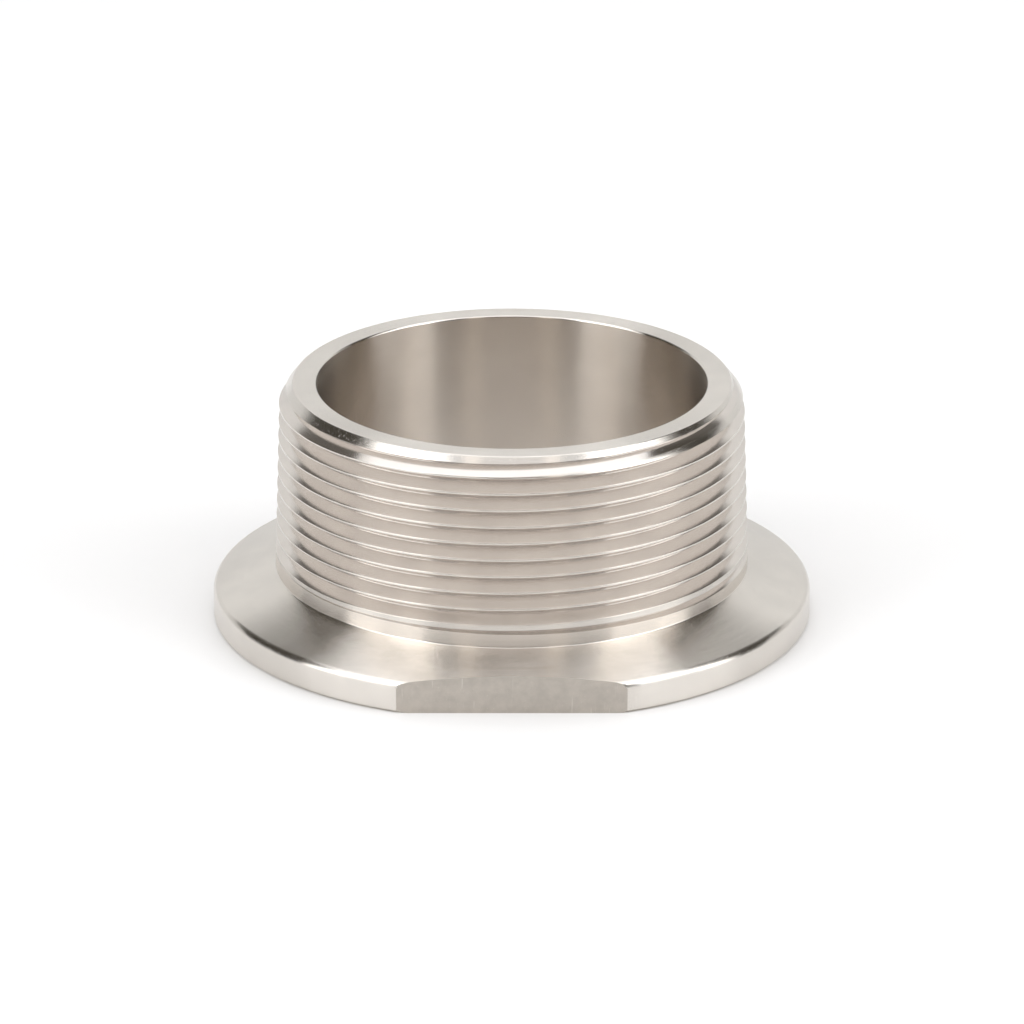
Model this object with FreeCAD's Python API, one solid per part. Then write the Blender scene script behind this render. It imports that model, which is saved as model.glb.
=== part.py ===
import FreeCAD, Part

import math
import os

# Pipe fitting turned from one bar of stainless steel: a clamp flange at the foot, a conical back,
# a short plain neck and a male taper pipe thread that runs up to the face, all round one bore.
# The frame stands on the flange's sealing face: Z is the axis of the bore and points up through
# the thread, and the milled flat on the rim looks along -Y. Lengths are in millimetres.

# Body: the neck has the outside diameter of the pipe that the thread is made for
overall_height = 45.7
neck_diameter = 88.9
wall_thickness = 7.95
neck_fillet = 0.8

# Flange: a straight rim, then a cone up to the neck
flange_projection = 11.75
rim_height = 5.8
back_cone_angle = 18.5
rim_rounding = 1.4
foot_chamfer = 0.5
flat_depth = 4.1
flat_cutter_overshoot = 5.0

# Seat for the gasket, turned into the sealing face round the bore
seat_width = 5.5
seat_depth = 1.6

# Threaded end: a flat ring round the bore, and a chamfer down to the thread's crests
face_ring_width = 4.4
end_chamfer_height = 3.2
face_edge_rounding = 0.4
bore_edge_break = 0.4

# Roundings are drawn as chords of their arcs
rim_chords = 3
small_chords = 1

# Thread: sixty degree form with flat crests, tapered one in sixteen on the diameter, right-handed
pitch = 3.175
taper_on_diameter = 1.0 / 16.0
half_thread_angle = 30.0
crest_flat = 0.32
plain_neck_length = 2.27

# Runout: the last groove stops level above the neck's foot and fades out over this much of a turn
runout_above_neck_foot = 2.92
runout_turn = 265.0
runout_end_angle = -75.0
groove_start_below_runout = 0.36
groove_cutter_overshoot = 0.12

# The groove is worked out in stretches of a quarter turn
stretch_angle = 90.0
points_per_stretch = 6

neck_radius = neck_diameter / 2
bore_radius = neck_radius - wall_thickness
seat_radius = bore_radius + seat_width
flange_radius = neck_radius + flange_projection
face_ring_radius = bore_radius + face_ring_width
neck_foot = rim_height + flange_projection * math.tan(math.radians(back_cone_angle))
taper_start = neck_foot + plain_neck_length
runout_height = neck_foot + runout_above_neck_foot
flank_slope = math.tan(math.radians(half_thread_angle))
thread_depth = (pitch - crest_flat) / 2 / flank_slope


def crest_radius(height):
    """Radius over the thread's crests: the neck's own, less the taper above its start."""
    return neck_radius - max(0.0, height - taper_start) * taper_on_diameter / 2


def point(radius, height):
    """A point of the half section, in the XZ plane."""
    return FreeCAD.Vector(radius, 0, height)


def rounding(before, corner, after, radius, chords):
    """The points that round off a corner of an outline, on the arc that touches both its sides."""
    to_before = (before - corner).normalize()
    to_after = (after - corner).normalize()
    half_angle = to_before.getAngle(to_after) / 2
    touch = radius / math.tan(half_angle)
    centre = corner + (to_before + to_after).normalize() * (radius / math.sin(half_angle))
    start = corner + to_before * touch - centre
    end = corner + to_after * touch - centre
    sweep = start.getAngle(end)
    points = []
    for number in range(chords + 1):
        turned = sweep * number / chords
        spoke = start * math.sin(sweep - turned) + end * math.sin(turned)
        points.append(centre + spoke * (1 / math.sin(sweep)))
    return points


def blank():
    """The turned blank: its half section as one closed outline, swept round Z."""
    rim_foot = point(flange_radius, foot_chamfer)
    rim_top = point(flange_radius, rim_height)
    cone_top = point(neck_radius, neck_foot)
    thread_foot = point(neck_radius, taper_start)
    chamfer_height = overall_height - end_chamfer_height
    chamfer_foot = point(crest_radius(chamfer_height), chamfer_height)
    ring_edge = point(face_ring_radius, overall_height)
    bore_edge = point(bore_radius + bore_edge_break, overall_height)
    outline = [
        point(bore_radius, seat_depth),
        point(seat_radius, seat_depth),
        point(seat_radius, 0),
        point(flange_radius - foot_chamfer, 0),
        rim_foot,
    ]
    outline += rounding(rim_foot, rim_top, cone_top, rim_rounding, rim_chords)
    outline += rounding(rim_top, cone_top, thread_foot, neck_fillet, small_chords)
    outline += [thread_foot, chamfer_foot]
    outline += rounding(chamfer_foot, ring_edge, bore_edge, face_edge_rounding, small_chords)
    outline += [bore_edge, point(bore_radius, overall_height - bore_edge_break)]
    half_section = Part.Face(Part.makePolygon(outline + outline[:1]))
    return half_section.revolve(FreeCAD.Vector(0, 0, 0), FreeCAD.Vector(0, 0, 1), 360)


def groove_centre(angle):
    """Height of the groove at an angle in degrees, counted up the thread from the front."""
    start = runout_height - groove_start_below_runout
    return max(runout_height, start + pitch * angle / 360)


def groove_depth(angle):
    """Depth of the groove: full, but for the runout, where the tool backs out evenly."""
    return thread_depth * min(1.0, (angle - runout_end_angle) / runout_turn)


def cutter_corner(angle, side):
    """One corner of the cutter's section: 0 is its tip, and -1 and 1 lie just outside the crests."""
    height = groove_centre(angle)
    depth = groove_depth(angle)
    reach = abs(side) * (depth + groove_cutter_overshoot)
    radius = crest_radius(height) - depth + reach
    turn = math.radians(angle - 90)
    return FreeCAD.Vector(
        radius * math.cos(turn),
        radius * math.sin(turn),
        height + side * reach * flank_slope,
    )


def groove_cutter():
    """The thread's groove as one solid: ruled faces between helical edges, and a face at each end."""
    sides = (-1, 0, 1)
    turns = (overall_height + pitch + groove_start_below_runout - runout_height) / pitch
    count = math.ceil((turns * 360 - runout_end_angle) / stretch_angle)
    step = stretch_angle / points_per_stretch
    faces = []
    for stretch in range(count):
        start = runout_end_angle + stretch * stretch_angle
        edges = []
        for side in sides:
            curve = Part.BSplineCurve()
            steps = range(points_per_stretch + 1)
            curve.interpolate([cutter_corner(start + number * step, side) for number in steps])
            edges.append(curve.toShape())
        faces += [Part.makeRuledSurface(edges[number - 1], edges[number]) for number in range(len(sides))]
    for angle in (runout_end_angle, runout_end_angle + count * stretch_angle):
        loop = [cutter_corner(angle, side) for side in sides]
        faces.append(Part.Face(Part.makePolygon(loop + loop[:1])))
    shell = Part.makeShell(faces)
    shell.sewShape()
    solid = Part.makeSolid(shell)
    if solid.Volume < 0:
        solid.reverse()
    return solid


def flat_cutter():
    """The block that the mill takes off the rim, from below the foot up to where the neck starts."""
    length = 2 * flange_radius
    width = flat_depth + flat_cutter_overshoot
    height = neck_foot + flat_cutter_overshoot
    corner = FreeCAD.Vector(-flange_radius, flat_depth - flange_radius - width, -flat_cutter_overshoot)
    return Part.makeBox(length, width, height, corner)


def threaded_flange():
    """The finished piece."""
    return blank().cut(flat_cutter()).cut(groove_cutter())


if __name__ == "__main__":
    os.makedirs("parts", exist_ok=True)
    piece = threaded_flange()
    print("solids", len(piece.Solids), "valid", piece.isValid(), "volume", round(piece.Volume, 1))
    piece.Solids[0].exportStep("parts/threaded_flange.step")
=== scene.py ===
import math

import bpy
import numpy as np
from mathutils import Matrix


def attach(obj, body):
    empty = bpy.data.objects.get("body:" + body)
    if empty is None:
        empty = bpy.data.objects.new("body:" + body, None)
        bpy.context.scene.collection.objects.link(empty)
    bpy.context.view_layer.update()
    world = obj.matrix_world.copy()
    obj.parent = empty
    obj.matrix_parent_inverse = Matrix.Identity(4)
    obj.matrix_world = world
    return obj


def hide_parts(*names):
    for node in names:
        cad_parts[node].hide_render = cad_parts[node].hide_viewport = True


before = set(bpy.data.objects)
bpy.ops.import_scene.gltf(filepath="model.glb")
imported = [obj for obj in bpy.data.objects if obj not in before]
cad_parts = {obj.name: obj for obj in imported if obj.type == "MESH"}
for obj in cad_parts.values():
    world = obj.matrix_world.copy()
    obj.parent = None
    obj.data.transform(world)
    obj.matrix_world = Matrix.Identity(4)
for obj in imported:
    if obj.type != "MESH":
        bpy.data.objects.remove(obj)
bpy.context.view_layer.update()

# The flange at the foot is turned from round bar: a flat sealing face with a shallow seat for the
# gasket, a straight rim with a rounded upper edge, and a cone that the clamp pulls on.
# A flat is milled across the rim at the front. Lengths are in metres.
BORE_RADIUS = 0.0365
SEAT_RADIUS = 0.0420
SEAT_DEPTH = 0.0016
FLANGE_RADIUS = 0.0562
FOOT_CHAMFER = 0.0005
RIM_HEIGHT = 0.0058
RIM_ROUNDING = 0.0014
CONE_SLOPE = math.tan(math.radians(18.5))
FLAT_DISTANCE = 0.0521
NECK_RADIUS = 0.04445
NECK_FILLET = 0.0003

# Every surface is a grid of points. Its columns are spokes round the axis, at angles in degrees from
# the front, and the first spoke is the one where the thread's groove has faded out.
SPOKES = 288
RUNOUT_END = -75.0
FOOT_ROWS = 4
RIM_ROWS = 4
RIM_ARC_STEPS = 7
CONE_ROWS = 7
NECK_ARC_STEPS = 6


def fillet(before, corner, after, radius, steps):
    """Points (r, z) on the arc of that radius that touches both sides of a corner, turned evenly
    from the side that comes before to the side that comes after."""
    before, corner, after = (np.array(p, float) for p in (before, corner, after))
    out = (before - corner) / np.linalg.norm(before - corner)
    on = (after - corner) / np.linalg.norm(after - corner)
    half = math.acos(float(out @ on)) / 2
    middle = (out + on) / np.linalg.norm(out + on)
    centre = corner + middle * radius / math.sin(half)
    start = corner + out * radius / math.tan(half) - centre
    end = corner + on * radius / math.tan(half) - centre
    sweep = math.pi - 2 * half
    turned = np.linspace(0, sweep, steps + 1)[:, None]
    return centre + (start * np.sin(sweep - turned) + end * np.sin(turned)) / math.sin(sweep)


flat_half_angle = math.degrees(math.acos(FLAT_DISTANCE / FLANGE_RADIUS))
spoke_angle = np.linspace(RUNOUT_END, RUNOUT_END + 360, SPOKES, endpoint=False)
for flat_end in (-flat_half_angle, flat_half_angle):
    spoke_angle[np.argmin(np.abs(spoke_angle - flat_end))] = flat_end
spoke_x = np.sin(np.radians(spoke_angle))
spoke_y = -np.cos(np.radians(spoke_angle))
on_flat = np.abs(spoke_angle) <= flat_half_angle
flat_reach = np.where(on_flat, FLAT_DISTANCE / np.cos(np.radians(spoke_angle)), FLANGE_RADIUS)

neck_foot = RIM_HEIGHT + (FLANGE_RADIUS - NECK_RADIUS) * CONE_SLOPE
rim_top = (FLANGE_RADIUS, RIM_HEIGHT)
cone_top = (NECK_RADIUS, neck_foot)
rim_arc = fillet((FLANGE_RADIUS, 0), rim_top, cone_top, RIM_ROUNDING, RIM_ARC_STEPS)
neck_arc = fillet(rim_top, cone_top, (NECK_RADIUS, 1), NECK_FILLET, NECK_ARC_STEPS)


def back_height(radius):
    """Height of the flange's back at a radius: the cone, and near the rim the arc that rounds it."""
    centre_r, centre_z = FLANGE_RADIUS - RIM_ROUNDING, rim_arc[0, 1]
    on_arc = centre_z + np.sqrt(np.maximum(RIM_ROUNDING**2 - (radius - centre_r) ** 2, 0))
    on_cone = RIM_HEIGHT + (FLANGE_RADIUS - radius) * CONE_SLOPE
    return np.where(radius > rim_arc[-1, 0], on_arc, on_cone)


foot_edge = FLANGE_RADIUS - FOOT_CHAMFER
foot_radii = np.concatenate((np.linspace(SEAT_RADIUS, foot_edge, FOOT_ROWS), [FLANGE_RADIUS]))
foot_r = np.minimum(foot_radii[:, None], flat_reach)
foot_z = np.maximum(foot_r - foot_edge, 0)
rim_share = np.linspace(0, 1, RIM_ROWS + 1)[1:, None]
rim_r = np.minimum(FLANGE_RADIUS, flat_reach) + 0 * rim_share
rim_z = foot_z[-1] + (back_height(rim_r[0]) - foot_z[-1]) * rim_share
cone_radii = np.linspace(rim_arc[-1, 0], neck_arc[0, 0], CONE_ROWS + 1)[1:]
back_r = np.minimum(np.concatenate((rim_arc[1:, 0], cone_radii))[:, None], flat_reach)
back_z = back_height(back_r)


def rings(points):
    """Points (r, z) of the half section as full rings: one row for each, one column for each spoke."""
    points = np.array(points, float)
    return points[:, :1] + 0 * spoke_x, points[:, 1:] + 0 * spoke_x


seat_r, seat_z = rings([(BORE_RADIUS, SEAT_DEPTH), (SEAT_RADIUS, SEAT_DEPTH)])
neck_r, neck_z = rings(neck_arc[1:])

# The neck carries a male taper pipe thread, cut on the lathe: sixty degrees, eight turns to the
# inch, crests slightly flat and roots slightly round. The last groove stays level above the neck's
# foot and fades out over most of a turn, and the chamfer of the threaded end cuts the first turns.
PITCH = 0.003175
HALF_THREAD_ANGLE = 30
TAPER = 1 / 32
TAPER_START = 0.0120
CREST_FLAT = 0.00032
CREST_ROUNDING = 0.00010
CREST_ARC_STEPS = 3
ROOT_ROUNDING = 0.00011
ROOT_ARC_STEPS = 6
RUNOUT_HEIGHT = 0.01265
GROOVE_START = 0.01229
RUNOUT_TURN = 265.0
TURNS = 13
OVERALL_HEIGHT = 0.0457
CHAMFER_HEIGHT = 0.0032
RING_RADIUS = 0.0409
RING_ROUNDING = 0.0004
RING_ARC_STEPS = 6


def crest_radius(height):
    """Radius over the crests: the neck's, less a thirty-second of the height above the taper's start."""
    return NECK_RADIUS - np.maximum(height - TAPER_START, 0) * TAPER


chamfer_foot = OVERALL_HEIGHT - CHAMFER_HEIGHT
chamfer_slope = (crest_radius(chamfer_foot) - RING_RADIUS) / CHAMFER_HEIGHT
chamfer_point = (float(crest_radius(chamfer_foot)), chamfer_foot)
ring_edge = (RING_RADIUS, OVERALL_HEIGHT)
ring_arc = fillet(chamfer_point, ring_edge, (0, OVERALL_HEIGHT), RING_ROUNDING, RING_ARC_STEPS)
thread_top = ring_arc[0, 1]


def chamfer_radius(height):
    """Radius of the end chamfer, a straight line in the half section that is carried on downwards."""
    return RING_RADIUS + (OVERALL_HEIGHT - height) * chamfer_slope


def groove_centre(angle):
    """Height of the groove: level in the runout, then one pitch up for each turn."""
    return np.maximum(RUNOUT_HEIGHT, GROOVE_START + PITCH * angle / 360)


half_width = (PITCH - CREST_FLAT) / 2
full_depth = half_width / math.tan(math.radians(HALF_THREAD_ANGLE))
low, tip, high = (0, -half_width), (-full_depth, 0), (0, half_width)
groove_section = np.concatenate((
    fillet((0, -PITCH), low, tip, CREST_ROUNDING, CREST_ARC_STEPS),
    fillet(low, tip, high, ROOT_ROUNDING, ROOT_ARC_STEPS),
    fillet(tip, high, (0, PITCH), CREST_ROUNDING, CREST_ARC_STEPS),
))


def stop_at_chamfer(r, z):
    """Move the points of the groove's section that stick out of the end chamfer, in place, to where
    the section crosses the chamfer. The crossing divides the step from the last point inside to the
    first one outside as their distances from the chamfer do."""
    outside = r - chamfer_radius(z)
    inside = outside <= 0
    row = np.arange(len(z))[:, None]
    first = inside.argmax(0)
    last = len(z) - 1 - inside[::-1].argmax(0)
    for end, step in ((first, -1), (last, 1)):
        beyond = np.clip(end + step, 0, len(z) - 1)
        deep, proud = (np.take_along_axis(outside, i[None], 0) for i in (end, beyond))
        share = np.clip(proud / np.where(proud == deep, 1, proud - deep), 0, 1)
        moved = ((row - end) * step > 0) & inside.any(0)
        for line in (r, z):
            here, there = (np.take_along_axis(line, i[None], 0) for i in (end, beyond))
            line[:] = np.where(moved, there + (here - there) * share, line)


def groove_ribbon():
    """The thread as one ribbon wound up the neck, as wide as a pitch: its first row runs along the
    middle of the crest below the groove, and the others carry the groove's section round.
    The section shrinks evenly in the runout, and stops where it meets the end chamfer."""
    angle = np.concatenate([spoke_angle + 360 * (turn - 1) for turn in range(TURNS + 2)])
    angle = angle[:(TURNS + 1) * SPOKES + 1]
    share = np.clip((angle - RUNOUT_END) / RUNOUT_TURN, 0, 1)
    edge_below = groove_centre(angle) - PITCH / 2
    edge_above = groove_centre(angle + 360) - PITCH / 2
    z = groove_centre(angle) + groove_section[:, 1:] * share
    z = np.clip(z, edge_below, edge_above)
    r = crest_radius(z) + groove_section[:, :1] * share
    stop_at_chamfer(r, z)
    z = np.concatenate((edge_below[None], z))
    r = np.concatenate((crest_radius(edge_below)[None], r))
    r = np.minimum(r, chamfer_radius(z))
    beyond_top = z >= thread_top
    return np.where(beyond_top, ring_arc[0, 0], r), np.where(beyond_top, thread_top, z)


thread_r, thread_z = groove_ribbon()
neck_end_r, neck_end_z = rings([(NECK_RADIUS, thread_z[0, 0])])

# The threaded end is faced off square: a narrow flat ring between the chamfer and the bore, both its
# edges just broken, and the bore itself, bored straight through to the gasket's seat.
BORE_ROUNDING = 0.0004
BORE_ARC_STEPS = 5
BORE_ROWS = 8

bore_edge = (BORE_RADIUS, OVERALL_HEIGHT)
bore_arc = fillet((1, OVERALL_HEIGHT), bore_edge, (BORE_RADIUS, 0), BORE_ROUNDING, BORE_ARC_STEPS)
bore_heights = np.linspace(bore_arc[-1, 1], SEAT_DEPTH, BORE_ROWS + 1)[1:]
bore_line = np.stack((np.full(BORE_ROWS, BORE_RADIUS), bore_heights), 1)
face_r, face_z = rings(np.concatenate((ring_arc, bore_arc, bore_line)))

# Flange, neck, thread, face and bore are one piece of metal, so all their grids become one closed
# skin. The rows run from the seat round the foot and up the outside to the thread's start, and then
# over the face and down the bore, and the thread's ribbon fills the gap between them.
CLOSE_DECIMALS = 9


def net(rows, columns, first):
    """Corner numbers of the four-sided faces between neighbouring rows and columns of a grid of
    points that starts at number first. The last column joins on to the first one."""
    row, column = np.meshgrid(np.arange(rows - 1), np.arange(columns), indexing="ij")
    here = first + row * columns + column
    right = first + row * columns + (column + 1) % columns
    return np.stack((here, right, right + columns, here + columns), -1).reshape(-1, 4)


def ribbon_net(rows, columns, first):
    """Corner numbers of the faces of a wound ribbon, whose upper edge is its own first row one turn
    further on: the number of the spokes is added to that row's numbers."""
    lines = first + np.arange(rows)[:, None] * columns + np.arange(TURNS * SPOKES)
    lines = np.concatenate((lines, lines[:1] + SPOKES))
    after = np.concatenate((lines[:, 1:], lines[:, -1:] + 1), 1)
    return np.stack((lines[:-1], after[:-1], after[1:], lines[1:]), -1).reshape(-1, 4)


def closed_mesh(name, points, faces):
    """A mesh from points and four-sided faces. Points that coincide to a nanometre become one. A face
    that lost one side by that becomes a triangle, and one that shrank to a line goes."""
    points, number = np.unique(np.round(points, CLOSE_DECIMALS), axis=0, return_inverse=True)
    faces = number.reshape(-1)[faces]
    differs = faces != np.roll(faces, 1, 1)
    uncrossed = (faces[:, 0] != faces[:, 2]) & (faces[:, 1] != faces[:, 3])
    four = faces[differs.all(1) & uncrossed]
    three = differs.sum(1) == 3
    three = faces[three][differs[three]].reshape(-1, 3)
    used, corners = np.unique(np.concatenate((four.ravel(), three.ravel())), return_inverse=True)
    corners = corners.reshape(-1)
    four, three = corners[:four.size].reshape(-1, 4), corners[four.size:].reshape(-1, 3)
    mesh = bpy.data.meshes.new(name)
    mesh.from_pydata(points[used].tolist(), [], four.tolist() + three.tolist())
    return mesh


def turned_body():
    """All the grids as one mesh: a point is its spoke's direction times its radius, at its height."""
    outside_r = np.concatenate((seat_r, foot_r, rim_r, back_r, neck_r, neck_end_r))
    outside_z = np.concatenate((seat_z, foot_z, rim_z, back_z, neck_z, neck_end_z))
    around = np.arange(thread_r.shape[1]) % SPOKES
    points, faces, count = [], [], 0
    for r, z, across, corners in (
        (outside_r, outside_z, slice(None), net),
        (face_r, face_z, slice(None), net),
        (thread_r, thread_z, around, ribbon_net),
    ):
        points.append(np.stack((r * spoke_x[across], r * spoke_y[across], z), -1).reshape(-1, 3))
        faces.append(corners(*r.shape, count))
        count += r.size
    return closed_mesh("turned_body", np.concatenate(points), np.concatenate(faces))


body = turned_body()
flange = bpy.data.objects.new("threaded_flange_turned", body)
bpy.context.scene.collection.objects.link(flange)

# The flat is the one face that a mill cut, and its outline stays a sharp corner. Elsewhere only true
# corners are sharp, and the broken edges are shaded round. A hair is a hundredth of a millimetre.
HAIR = 1e-5
SHARP_CORNER = 38


def read(items, name, kind=float, width=1):
    """One value of every item of the mesh as an array, with a row for each item where it is wider."""
    values = np.empty(len(items) * width, kind)
    items.foreach_get(name, values)
    return values.reshape(-1, width) if width > 1 else values


corner = read(body.vertices, "co", width=3)
loop_corner = read(body.loops, "vertex_index", int)
loop_edge = read(body.loops, "edge_index", int)
loop_face = np.repeat(np.arange(len(body.polygons)), read(body.polygons, "loop_total", int))
off_flat = np.abs(corner[loop_corner, 1] + FLAT_DISTANCE) > HAIR / 10
milled = np.bincount(loop_face, off_flat) == 0
body.shade_smooth()
body.set_sharp_from_angle(angle=math.radians(SHARP_CORNER))
milled_sides = np.bincount(loop_edge, milled[loop_face], len(body.edges))
sharp = read(body.edges, "use_edge_sharp", bool)
body.edges.foreach_set("use_edge_sharp", sharp | (milled_sides == 1))
weighted = flange.modifiers.new("flat faces lead the shading", "WEIGHTED_NORMAL")
weighted.keep_sharp = True

# All of it is bare stainless steel, as bright as the tools left it. It is faintly cloudy, with a few
# small pits in the metal and fine scratches from handling, whose lighter colour is a painted glint.
CLEAN_SHARE = 0.8
PIT_CORE, PIT_EDGE = 0.02, 0.06
PIT_COLOUR = (0.30, 0.27, 0.24, 1)
SCRATCH_STRETCHES = ((3500, 170, 3500), (3500, 3500, 170))
SCRATCH_START, SCRATCH_FULL = 0.71, 0.77
SCRATCH_GLINT_COLOUR = (0.90, 0.87, 0.83, 1)
SCRATCH_GLINT_STRENGTH = 0.35
CLOUD_LOW, CLOUD_HIGH = 0.3, 0.7


def node(tree, kind, *sources, **settings):
    """A shader node with its settings, its inputs in order each linked to an output or set to a value.
    A noise takes its place, its fourth way, its scale, its detail and its roughness."""
    made = tree.nodes.new("ShaderNode" + kind)
    for name, value in settings.items():
        setattr(made, name, value)
    for socket, source in zip(made.inputs, sources):
        if isinstance(source, bpy.types.NodeSocket):
            tree.links.new(source, socket)
        elif source is not None:
            socket.default_value = source
    return made


def group(name, inputs, outputs):
    """An empty node group with those sockets: its tree, the outputs that bring its inputs in, and
    the inputs that take its results."""
    tree = bpy.data.node_groups.new(name, "ShaderNodeTree")
    for way, names in (("INPUT", inputs), ("OUTPUT", outputs)):
        for socket in names:
            tree.interface.new_socket(socket, in_out=way, socket_type="NodeSocketFloat")
    return tree, tree.nodes.new("NodeGroupInput").outputs, tree.nodes.new("NodeGroupOutput").inputs


def placed(tree, made, values):
    """A group placed in a material's tree, with its own values."""
    here = tree.nodes.new("ShaderNodeGroup")
    here.node_tree = made
    for name, value in values.items():
        here.inputs[name].default_value = value
    return here.outputs


def bare_steel_surface():
    """Node group on Object coordinates: a cloudiness, pits, each at the middle of a Voronoi cell whose
    random red is high, and scratches, where noise drawn out along the Y or the Z axis peaks."""
    tree, given, result = group(
        "bare_steel_surface", ("Cloud scale", "Pit scale"), ("Cloud", "Pits", "Scratches"))
    place = node(tree, "TexCoord").outputs["Object"]
    cloud = node(tree, "TexNoise", place, None, given["Cloud scale"], 4.0, 0.55)
    cells = node(tree, "TexVoronoi", place, None, given["Pit scale"])
    chance = node(tree, "SeparateColor", cells.outputs["Color"]).outputs["Red"]
    rare = node(tree, "Math", chance, CLEAN_SHARE, operation="GREATER_THAN")
    core = node(tree, "MapRange", cells.outputs["Distance"], PIT_CORE, PIT_EDGE, 1.0, 0.0)
    pits = node(tree, "Math", rare.outputs[0], core.outputs[0], operation="MULTIPLY")
    scored = []
    for stretch in SCRATCH_STRETCHES:
        drawn_out = node(tree, "VectorMath", place, stretch, operation="MULTIPLY").outputs[0]
        score = node(tree, "TexNoise", drawn_out, None, 1.0, 1.0, 0.5).outputs[0]
        scored.append(node(tree, "MapRange", score, SCRATCH_START, SCRATCH_FULL).outputs[0])
    scratches = node(tree, "Math", *scored, operation="MAXIMUM")
    for name, made in (("Cloud", cloud), ("Pits", pits), ("Scratches", scratches)):
        tree.links.new(made.outputs[0], result[name])
    return tree


steel_surface = bare_steel_surface()


def steel(name, dark, bright, cloud_scale, pit_scale):
    """Bare steel: one metal shader, whose colour goes from dark to bright with the cloudiness, and is
    darker in the pits and lighter in the scratches, a painted glint. Gives back its tree, its shader
    and the surface group's outputs."""
    made = bpy.data.materials.new(name)
    made.use_nodes = True
    tree = made.node_tree
    shader = tree.nodes["Principled BSDF"]
    shader.inputs["Metallic"].default_value = 1
    surface = placed(tree, steel_surface, {"Cloud scale": cloud_scale, "Pit scale": pit_scale})
    tone = node(tree, "ValToRGB", surface["Cloud"])
    stops = zip(tone.color_ramp.elements, (CLOUD_LOW, CLOUD_HIGH), (dark, bright))
    for stop, position, colour in stops:
        stop.position, stop.color = position, (*colour, 1)
    pitted = node(tree, "MixRGB", surface["Pits"], tone.outputs["Color"], PIT_COLOUR)
    # Painted glint: the scratches' colour is made lighter, standing in for the light they catch.
    scored = node(tree, "Math", surface["Scratches"], SCRATCH_GLINT_STRENGTH, operation="MULTIPLY")
    glinted = node(tree, "MixRGB", scored.outputs[0], pitted.outputs["Color"], SCRATCH_GLINT_COLOUR)
    tree.links.new(glinted.outputs["Color"], shader.inputs["Base Color"])
    body.materials.append(made)
    return tree, shader, surface


def relief(tree, shader, height, depth):
    """Bump on a shader: a height from nought to one stands for that depth in metres."""
    marks = node(tree, "Bump")
    marks.inputs["Strength"].default_value = 1
    marks.inputs["Distance"].default_value = depth
    tree.links.new(height, marks.inputs["Height"])
    tree.links.new(marks.outputs["Normal"], shader.inputs["Normal"])


# The lathe leaves fine rings round the axis on every turned face, so that reflections are smeared
# along the half section and stay crisp round it. The distance from the axis and the height are the
# two ways across the rings, and the spoke's direction lets them come and go round the piece.
FINE_RINGS = 3600
BROAD_RINGS = 700
RING_DRIFT = 1.5
TURNED_CLOUDS = 120
TURNED_PITS = 160
WEAR_LOW, WEAR_HIGH = 0.7, 1.3


def lathe_rings():
    """Node group on Object coordinates: noise over the distance from the axis and the height, once in
    fine and once in broad rings, so many to a metre. The spoke's direction times the drift is the
    noise's third and fourth way, so that the rings close without a seam."""
    tree, given, result = group(
        "lathe_rings", ("Fine rings per metre", "Broad rings per metre", "Drift"), ("Fine", "Broad"))
    place = node(tree, "TexCoord").outputs["Object"]
    spoke = node(tree, "VectorMath", place, (1, 1, 0), operation="MULTIPLY").outputs[0]
    radius = node(tree, "VectorMath", spoke, operation="LENGTH").outputs["Value"]
    height = node(tree, "SeparateXYZ", place).outputs["Z"]
    compass = node(tree, "VectorMath", spoke, operation="NORMALIZE").outputs[0]
    for name, detail in (("Fine", 2.0), ("Broad", 3.0)):
        per_metre = given[name + " rings per metre"]
        turn = node(tree, "Math", given["Drift"], per_metre, operation="DIVIDE").outputs[0]
        slow = node(tree, "VectorMath", compass, None, None, turn, operation="SCALE").outputs[0]
        third, fourth = node(tree, "SeparateXYZ", slow).outputs[:2]
        where = node(tree, "CombineXYZ", radius, height, third).outputs[0]
        wave = node(tree, "TexNoise", where, fourth, per_metre, detail, 0.6, noise_dimensions="4D")
        tree.links.new(wave.outputs[0], result[name])
    return tree


rings_on_steel = lathe_rings()


def turned_steel(name, dark, bright, smooth, rough, smear, ring_depth, drift=RING_DRIFT):
    """Steel off the lathe: the rings, less the pits and scratches, are the relief. The broad rings and
    the cloudiness take the roughness from smooth to rough, and the smear runs along the half section."""
    tree, shader, surface = steel(name, dark, bright, TURNED_CLOUDS, TURNED_PITS)
    fine, broad = placed(tree, rings_on_steel, {
        "Fine rings per metre": FINE_RINGS, "Broad rings per metre": BROAD_RINGS, "Drift": drift})
    wear = node(tree, "Math", broad, surface["Cloud"], operation="ADD").outputs[0]
    dull = node(tree, "MapRange", wear, WEAR_LOW, WEAR_HIGH, smooth, rough).outputs[0]
    tree.links.new(dull, shader.inputs["Roughness"])
    lift = node(tree, "Math", fine, broad, operation="ADD").outputs[0]
    deep = node(tree, "Math", surface["Pits"], surface["Scratches"], operation="ADD").outputs[0]
    height = node(tree, "Math", lift, deep, operation="SUBTRACT").outputs[0]
    relief(tree, shader, height, ring_depth)
    place = node(tree, "TexCoord").outputs["Object"]
    round_axis = node(tree, "VectorMath", (0, 0, 1), place, operation="CROSS_PRODUCT").outputs[0]
    tree.links.new(round_axis, shader.inputs["Tangent"])
    shader.inputs["Anisotropic"].default_value = smear
    shader.inputs["Anisotropic Rotation"].default_value = 0.25


turned_steel("turned_steel", (0.69, 0.655, 0.61), (0.76, 0.722, 0.672),
             smooth=0.195, rough=0.245, smear=1.0, ring_depth=1.4e-5)

# The mill leaves the flat duller and greyer than the turned faces: an even fine grain, crossed by the
# cutter's faint marks along the flat.
MILLED_CLOUDS = 450
MILLED_PITS = 300
MILLED_GRAIN = 3000
MILL_MARKS = (150, 1500, 4000)
MILLED_ROUGHNESS = (0.40, 0.52)
MILLED_DEPTH = 3e-5

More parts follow.
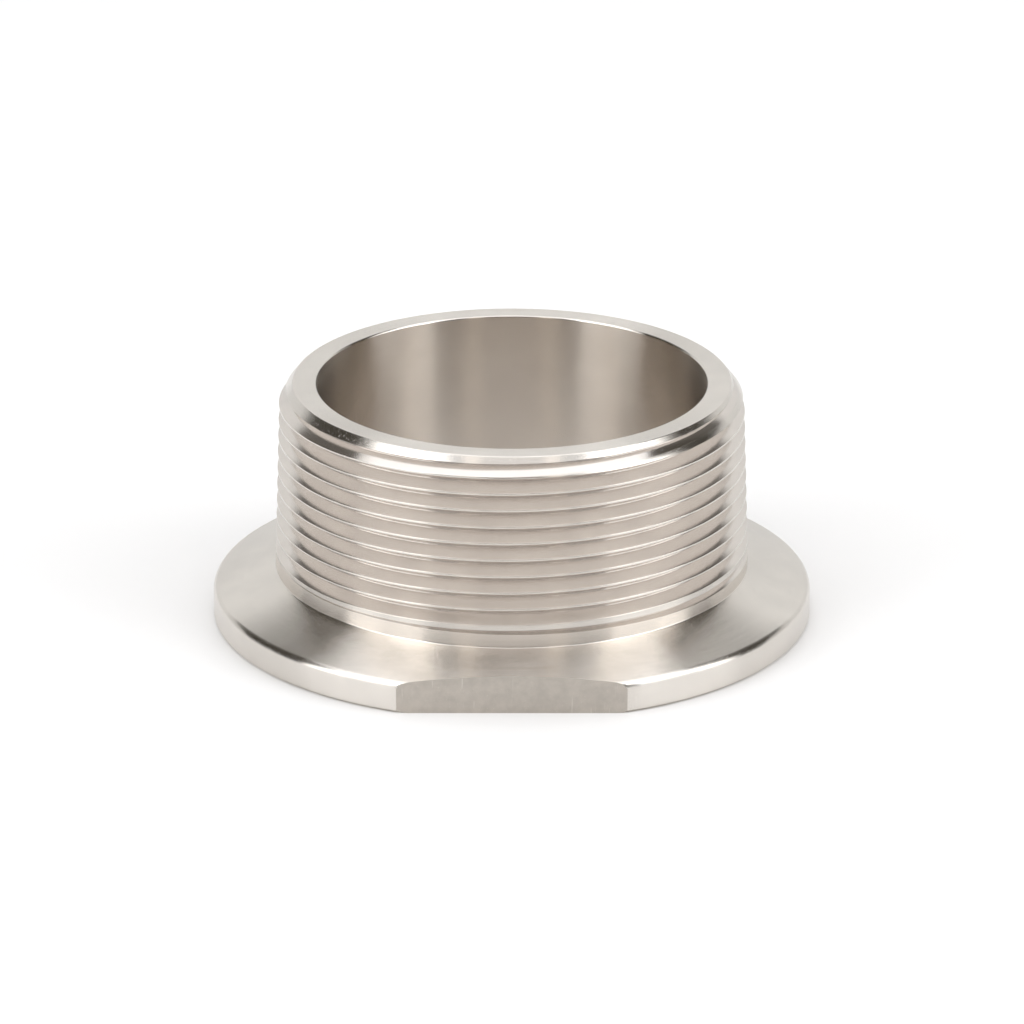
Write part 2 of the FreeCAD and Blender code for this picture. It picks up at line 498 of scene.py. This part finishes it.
tree, shader, surface = steel(
    "milled_steel", (0.48, 0.446, 0.403), (0.59, 0.548, 0.497), MILLED_CLOUDS, MILLED_PITS)
dull = node(tree, "MapRange", surface["Cloud"], CLOUD_LOW, CLOUD_HIGH, *MILLED_ROUGHNESS)
tree.links.new(dull.outputs[0], shader.inputs["Roughness"])
place = node(tree, "TexCoord").outputs["Object"]
grain = node(tree, "TexNoise", place, None, MILLED_GRAIN, 3.0, 0.6).outputs[0]
drawn_out = node(tree, "VectorMath", place, MILL_MARKS, operation="MULTIPLY").outputs[0]
strokes = node(tree, "TexNoise", drawn_out, None, 1.0, 2.0, 0.5).outputs[0]
height = node(tree, "Math", grain, strokes, operation="ADD").outputs[0]
relief(tree, shader, height, MILLED_DEPTH)

# The threading tool leaves the groove's flanks smoother than the turned faces around them. The bore
# and the plain neck are cut with a coarser feed, which draws their reflections out further.
turned_steel("cut_thread_steel", (0.703, 0.660, 0.619), (0.753, 0.707, 0.663),
             smooth=0.145, rough=0.185, smear=0.8, ring_depth=3e-6)
turned_steel("coarse_turned_steel", (0.735, 0.678, 0.618), (0.78, 0.724, 0.66),
             smooth=0.245, rough=0.270, smear=1.0, ring_depth=4e-6, drift=0.6)

# Each face of the mesh takes its finish from where its middle lies: on the flat, below the crests in
# the groove, on the bore's wall or the plain neck, or anywhere else.
MILLIMETRE = 1e-3

corner_r = np.hypot(corner[:, 0], corner[:, 1])
middle_r, middle_z = (np.bincount(loop_face, line[loop_corner]) / np.bincount(loop_face)
                      for line in (corner_r, corner[:, 2]))
below_crest = np.minimum(crest_radius(middle_z), chamfer_radius(middle_z)) - middle_r
outer = middle_r > RING_RADIUS - MILLIMETRE
grooved = (below_crest > 2 * HAIR) & outer & (middle_z > TAPER_START)
bored = (middle_r < BORE_RADIUS + HAIR) & (middle_z < bore_arc[-1, 1])
near_neck = (middle_r > NECK_RADIUS - MILLIMETRE) & (middle_r < NECK_RADIUS + HAIR)
plain_neck = near_neck & (middle_z < RUNOUT_HEIGHT)
finish = np.select((milled, grooved, bored | plain_neck), (1, 2, 3), 0)
body.polygons.foreach_set("material_index", finish.astype(np.int32))

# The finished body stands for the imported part's one node, and doesn't move.
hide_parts("threaded_flange")
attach(flange, "root")

# The piece stands on a sheet of white paper, which fades into a white room. Close to the piece the
# paper keeps its soft shadow, and its glow is left out under the piece and fades in over a narrow ring
# round the rim, a painted shade round the foot. Further out it is as white as the room for the rays
# that see it.
FLOOR_HALF_WIDTH = 3
FLOOR_WHITE = (0.9, 0.9, 0.9, 1)
FLOOR_LIFT = 0.16
LIFT_START, LIFT_FULL = 0.050, 0.066
FADE_START, FADE_FULL = 0.15, 0.60
ROOM_LIGHT = 0.82


def seen(tree):
    """One for a ray from the camera, or one that a shiny or clear surface sends on, else nought."""
    rays = node(tree, "LightPath").outputs
    either = node(tree, "Math", rays["Is Camera Ray"], rays["Is Glossy Ray"], operation="MAXIMUM")
    clear = rays["Is Transmission Ray"]
    return node(tree, "Math", either.outputs[0], clear, operation="MAXIMUM").outputs[0]


def paint(name, lift_colour):
    """Matt paint whose glow has that colour, and is still at nought: its material, tree and shader."""
    made = bpy.data.materials.new(name)
    made.use_nodes = True
    shader = made.node_tree.nodes["Principled BSDF"]
    shader.inputs["Roughness"].default_value = 1
    shader.inputs["Specular IOR Level"].default_value = 0
    shader.inputs["Emission Color"].default_value = (*lift_colour, 1)
    return made, made.node_tree, shader


floor_mesh = bpy.data.meshes.new("floor")
floor_corners = FLOOR_HALF_WIDTH * np.array(((-1, -1, 0), (1, -1, 0), (1, 1, 0), (-1, 1, 0)))
floor_mesh.from_pydata(floor_corners.tolist(), [], [(0, 1, 2, 3)])
floor = bpy.data.objects.new("floor", floor_mesh)
bpy.context.scene.collection.objects.link(floor)
floor_paint, tree, shader = paint("floor_paint", (1, 1, 1))
floor_mesh.materials.append(floor_paint)
place = node(tree, "TexCoord").outputs["Object"]
far = node(tree, "VectorMath", place, operation="LENGTH").outputs["Value"]
# Painted shade: the paper's glow is nought within the foot and rises over a narrow ring round the rim.
lift_shaded_at_foot = node(tree, "MapRange", far, LIFT_START, LIFT_FULL, 0.0, FLOOR_LIFT,
              interpolation_type="SMOOTHSTEP")
away = node(tree, "MapRange", far, FADE_START, FADE_FULL, interpolation_type="SMOOTHSTEP").outputs[0]
fading = node(tree, "MixRGB", away, FLOOR_WHITE, (0, 0, 0, 1))
tree.links.new(fading.outputs[0], shader.inputs["Base Color"])
lift = node(tree, "MapRange", away, 0.0, 1.0, lift_shaded_at_foot.outputs[0], 1.0)
glow = node(tree, "Math", seen(tree), lift.outputs[0], operation="MULTIPLY")
tree.links.new(glow.outputs[0], shader.inputs["Emission Strength"])

world = bpy.data.worlds.new("white_room")
bpy.context.scene.world = world
world.use_nodes = True
tree = world.node_tree
room = tree.nodes["Background"]
room.inputs["Color"].default_value = (1, 1, 1, 1)
room_light = node(tree, "MapRange", seen(tree), 0.0, 1.0, ROOM_LIGHT, 1.0)
tree.links.new(room_light.outputs[0], room.inputs["Strength"])

# Softboxes light the piece: two upright ones stand at each side of it, and a wide one hangs above.
# The upright ones are counted in degrees from the camera's side, and all of them stay out of sight.
TENT = 1.5
UPPER_WIDTH, UPPER_DEPTH = 4.13, 4.0
UPPER_PLACE = (-0.15, 0.2, 2.75)
UPPER_BRIGHTNESS = 0.54
UPPER_COLOUR = (0.955, 0.96, 1.0)


def lamp(name, width, height, brightness, place, turned, colour=(1, 1, 1)):
    """A rectangular area lamp. Its watts are brightness x pi x area."""
    light = bpy.data.lights.new(name, "AREA")
    light.shape = "RECTANGLE"
    light.size, light.size_y = width, height
    light.energy = brightness * math.pi * width * height
    light.color = colour
    made = bpy.data.objects.new(name, light)
    made.location, made.rotation_euler = place, turned
    made.visible_camera = False
    bpy.context.scene.collection.objects.link(made)


def softbox(name, direction, half_angle, foot, top, brightness):
    """An upright lamp at the tent's distance in that direction, which faces the axis, covers half an
    angle each way, and reaches from its foot to its top."""
    turn = math.radians(direction)
    width = 2 * TENT * math.tan(math.radians(half_angle))
    place = (TENT * math.sin(turn), -TENT * math.cos(turn), (foot + top) / 2)
    lamp(name, width, top - foot, brightness, place, (math.pi / 2, 0, turn))


softbox("left_softbox", -52, 11, 0.4, 2.6, 1.75)
softbox("left_outer_softbox", -73.5, 10.5, 0.1, 2.6, 1.45)
softbox("right_softbox", 60, 12, 0.4, 2.6, 1.75)
softbox("right_outer_softbox", 82.5, 10.5, 0.1, 2.6, 1.5)
lamp("upper_softbox", UPPER_WIDTH, UPPER_DEPTH, UPPER_BRIGHTNESS, UPPER_PLACE, (0, 0, 0), UPPER_COLOUR)

# Curved cards stand round the piece, out of sight, and bright metal mirrors them: brown and black
# ones before the camera and behind the softboxes make its dark stretches, and cream and white ones
# its pale stretches. Each hangs a little nearer or further than its neighbours, clear of them.
CARD_COLUMNS = 13
CARD_FOOT = 0.002
CARD_TOP = 1.85
BROWN = (0.26, 0.19, 0.14)
CREAM = (0.90, 0.80, 0.68)
BLACK = (0.075, 0.067, 0.054)
WHITE = (0.88, 0.88, 0.87)
GREY = (0.19, 0.18, 0.165)


def card(name, distance, edges, colour, lift=0.0):
    """A curved upright sheet: rows of points on a circle round the object, each row at its own height
    and from one direction to another in degrees. Its paint is lifted for the rays that see it."""
    rows = []
    for level, first, last in edges:
        turn = np.radians(np.linspace(first, last, CARD_COLUMNS))
        out = (distance * np.sin(turn), -distance * np.cos(turn), np.full(CARD_COLUMNS, level))
        rows.append(np.stack(out, 1))
    here = np.arange(CARD_COLUMNS * (len(rows) - 1)).reshape(-1, CARD_COLUMNS)[:, :-1].ravel()
    faces = np.stack((here, here + 1, here + CARD_COLUMNS + 1, here + CARD_COLUMNS), 1)
    sheet = bpy.data.meshes.new(name)
    sheet.from_pydata(np.concatenate(rows).tolist(), [], faces.tolist())
    card_paint, tree, shader = paint(name + "_paint", colour)
    shader.inputs["Base Color"].default_value = (*colour, 1)
    glow = node(tree, "Math", seen(tree), lift, operation="MULTIPLY")
    tree.links.new(glow.outputs[0], shader.inputs["Emission Strength"])
    sheet.materials.append(card_paint)
    made = bpy.data.objects.new(name, sheet)
    made.visible_camera = False
    bpy.context.scene.collection.objects.link(made)


card("front_card", 1.55, ((CARD_FOOT, -18, 19), (CARD_TOP, -18, 19)), BROWN)
card("front_left_card", 1.56, ((0.45, -29, -17), (CARD_TOP, -29, -17)), CREAM, 0.45)
card("front_right_card", 1.56, ((0.45, 18, 29), (CARD_TOP, 18, 29)), CREAM, 0.45)
card("left_edge_card", 1.54, ((CARD_FOOT, -42, -28), (CARD_TOP, -42, -28)), BLACK)
card("right_edge_card", 1.54, ((CARD_FOOT, 28, 48), (CARD_TOP, 28, 48)), BLACK)
card("front_foot_card", 1.57, ((CARD_FOOT, -30, 30), (0.5, -30, 30)), BROWN)
card("left_card", 1.65, (
    (CARD_FOOT, -114, -83), (0.5, -122, -83), (0.95, -130, -83), (1.3, -132, -85), (2.05, -132, -94),
), BLACK)
card("left_back_card", 1.7, (
    (0.5, -124, -110), (0.95, -146, -120), (1.2, -153, -120), (1.45, -162, -120),
    (CARD_TOP, -162, -120), (2.05, -157, -120),
), GREY)
card("right_card", 1.65, (
    (CARD_FOOT, 89, 106), (0.5, 89, 112), (0.95, 91, 128), (1.4, 95, 130), (2.5, 104, 130),
), BLACK)
card("right_back_card", 1.7, (
    (0.5, 100, 113), (0.95, 110, 140), (1.4, 110, 154), (2.5, 110, 154),
), GREY)
card("back_card", 1.8, ((CARD_FOOT, 104, 246), (2.4, 104, 246)), WHITE, 0.39)

# The camera of the photograph, looking down a little at the middle of the piece from in front.
ELEVATION = math.radians(20.82)
DISTANCE = 1.350
AIM = (0.00004, 0, 0.01939)
SENSOR_MILLIMETRES = 36
LENS_MILLIMETRES = 252.41

camera_data = bpy.data.cameras.new("camera")
camera_data.sensor_width = SENSOR_MILLIMETRES
camera_data.lens = LENS_MILLIMETRES
camera = bpy.data.objects.new("camera", camera_data)
camera.location = (AIM[0], -DISTANCE * math.cos(ELEVATION), AIM[2] + DISTANCE * math.sin(ELEVATION))
camera.rotation_euler = (math.pi / 2 - ELEVATION, 0, 0)
bpy.context.scene.collection.objects.link(camera)
bpy.context.scene.camera = camera
bpy.context.scene.view_settings.view_transform = "Standard"
